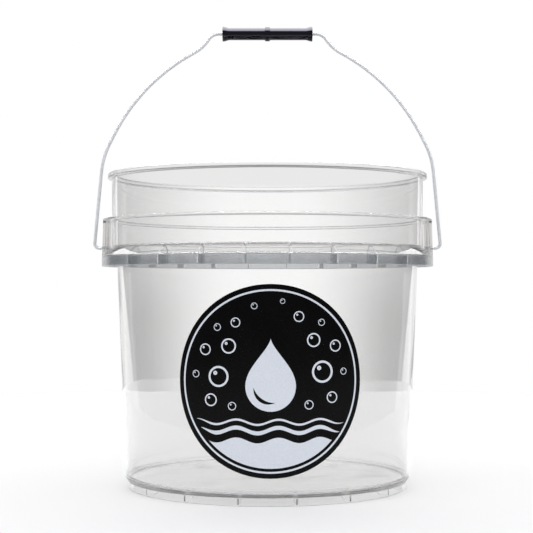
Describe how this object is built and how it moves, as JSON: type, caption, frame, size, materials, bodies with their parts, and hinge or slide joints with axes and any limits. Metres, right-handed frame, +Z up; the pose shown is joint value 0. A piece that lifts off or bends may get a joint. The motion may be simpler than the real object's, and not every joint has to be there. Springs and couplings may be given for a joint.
{
  "type": "wash bucket",
  "caption": "Clear round wash bucket with a ribbed stacking ledge, a swinging wire bail, a loose tube grip and a round decal.",
  "frame": {"origin": "centre of the foot ring's footprint, on the floor plane", "axes": "+Z up along the bucket's axis; the decal faces -Y; the bail's pivot line is parallel to X"},
  "size_m": [0.3296, 0.311, 0.4332],
  "materials": {
    "clear_plastic": "clear, smooth, glossy injection moulding",
    "wire": "zinc plated drawn wire",
    "black_plastic": "black, glossy moulding",
    "decal_film": "printed gloss film"
  },
  "bodies": {
    "bucket": {"bucket_shell": "clear_plastic", "decal": "decal_film"},
    "bail": {"bail_wire": "wire"},
    "grip": {"grip": "black_plastic"}
  },
  "joints": [
    {"name": "bail_swing", "type": "hinge", "parent": "bucket", "child": "bail", "pos_m": [0, 0, 0.2235], "axis": [1, 0, 0], "range_deg": [-134, 134]},
    {"name": "grip_spin", "type": "hinge", "parent": "bail", "child": "grip", "pos_m": [0, 0, 0.42609], "axis": [1, 0, 0], "continuous": true}
  ]
}
